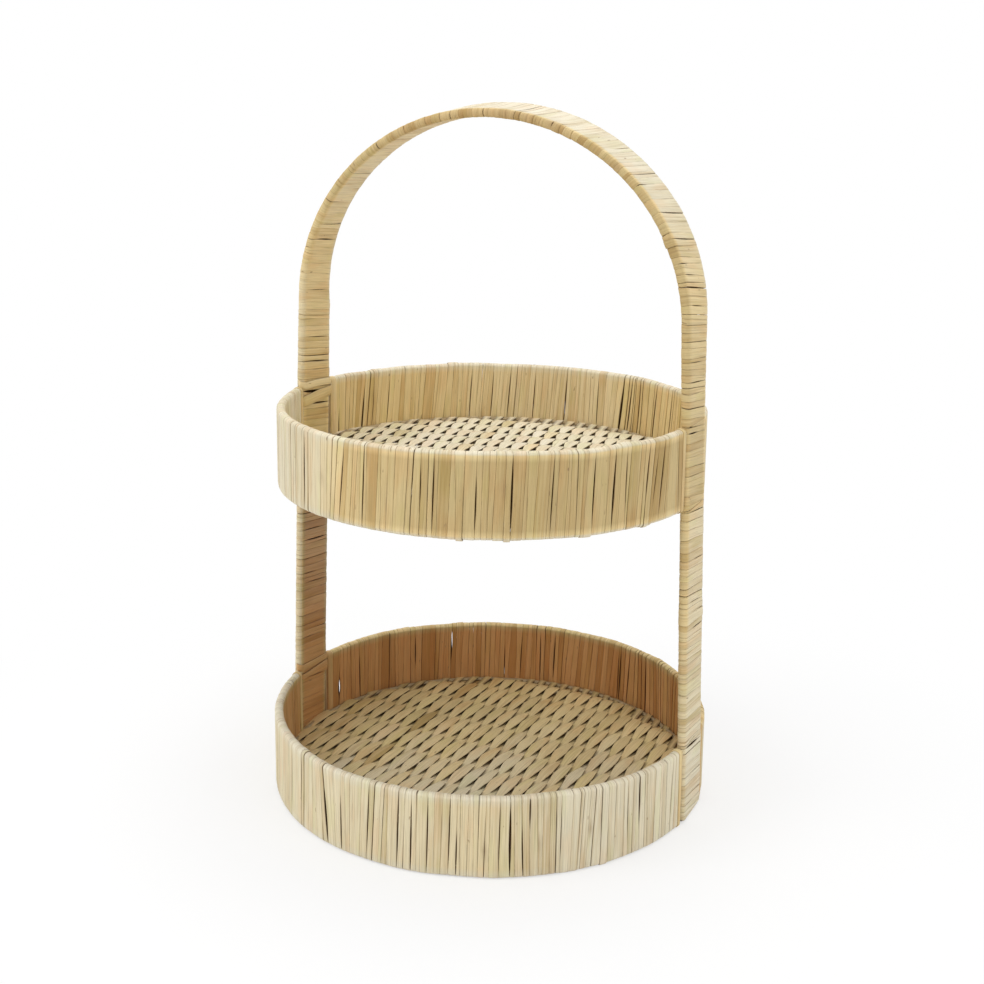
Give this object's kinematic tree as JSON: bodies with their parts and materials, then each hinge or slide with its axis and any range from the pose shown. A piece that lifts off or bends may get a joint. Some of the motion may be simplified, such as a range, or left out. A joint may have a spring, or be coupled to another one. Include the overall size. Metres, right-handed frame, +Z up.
{
  "type": "two-tier tray",
  "caption": "Round serving stand: two shallow wound-peel trays with woven floors, one above the other, carried by flat wrapped legs that run on as a tall arched handle.",
  "frame": {"origin": "on the table, under the middle of both trays", "axes": "+Z up, +X towards the right leg, -Y towards the front"},
  "size_m": [0.3008, 0.3, 0.462],
  "materials": {
    "wall_peel": "bare wound peel, satin",
    "handle_peel": "bare wound peel, satin",
    "floor_peel": "bare woven peel, satin",
    "floor_stake": "bare round cane, satin",
    "frame_rod": "dull drawn rod"
  },
  "bodies": {
    "root": {"lower_floor_mat": "floor_peel", "lower_floor_hoop": "frame_rod", "lower_floor_stake_1": "floor_stake", "lower_floor_stake_2": "floor_stake", "lower_floor_stake_3": "floor_stake", "lower_floor_stake_4": "floor_stake", "lower_floor_stake_5": "floor_stake", "lower_floor_stake_6": "floor_stake", "lower_floor_stake_7": "floor_stake", "lower_floor_stake_8": "floor_stake", "lower_floor_stake_9": "floor_stake", "lower_bottom_ring_front": "frame_rod", "lower_bottom_ring_back": "frame_rod", "lower_top_ring_front": "frame_rod", "lower_top_ring_back": "frame_rod", "lower_post_front": "frame_rod", "lower_post_back": "frame_rod", "lower_wall_wrap_front": "wall_peel", "lower_wall_wrap_back": "wall_peel", "lower_left_bottom_rung": "frame_rod", "lower_left_top_rung": "frame_rod", "lower_right_bottom_rung": "frame_rod", "lower_right_top_rung": "frame_rod", "lower_left_lashing": "handle_peel", "lower_right_lashing": "handle_peel", "upper_floor_mat": "floor_peel", "upper_floor_hoop": "frame_rod", "upper_floor_stake_1": "floor_stake", "upper_floor_stake_2": "floor_stake", "upper_floor_stake_3": "floor_stake", "upper_floor_stake_4": "floor_stake", "upper_floor_stake_5": "floor_stake", "upper_floor_stake_6": "floor_stake", "upper_floor_stake_7": "floor_stake", "upper_floor_stake_8": "floor_stake", "upper_floor_stake_9": "floor_stake", "upper_floor_stake_10": "floor_stake", "upper_floor_stake_11": "floor_stake", "upper_floor_stake_12": "floor_stake", "upper_bottom_ring_front": "frame_rod", "upper_bottom_ring_back": "frame_rod", "upper_top_ring_front": "frame_rod", "upper_top_ring_back": "frame_rod", "upper_post_front": "frame_rod", "upper_post_back": "frame_rod", "upper_wall_wrap_front": "wall_peel", "upper_wall_wrap_back": "wall_peel", "upper_left_bottom_rung": "frame_rod", "upper_left_top_rung": "frame_rod", "upper_right_bottom_rung": "frame_rod", "upper_right_top_rung": "frame_rod", "upper_left_lashing": "handle_peel", "upper_right_lashing": "handle_peel", "handle_rod_front": "frame_rod", "handle_rod_back": "frame_rod", "left_leg_wrap": "handle_peel", "right_leg_wrap": "handle_peel", "handle_wrap": "handle_peel"}
  },
  "joints": []
}
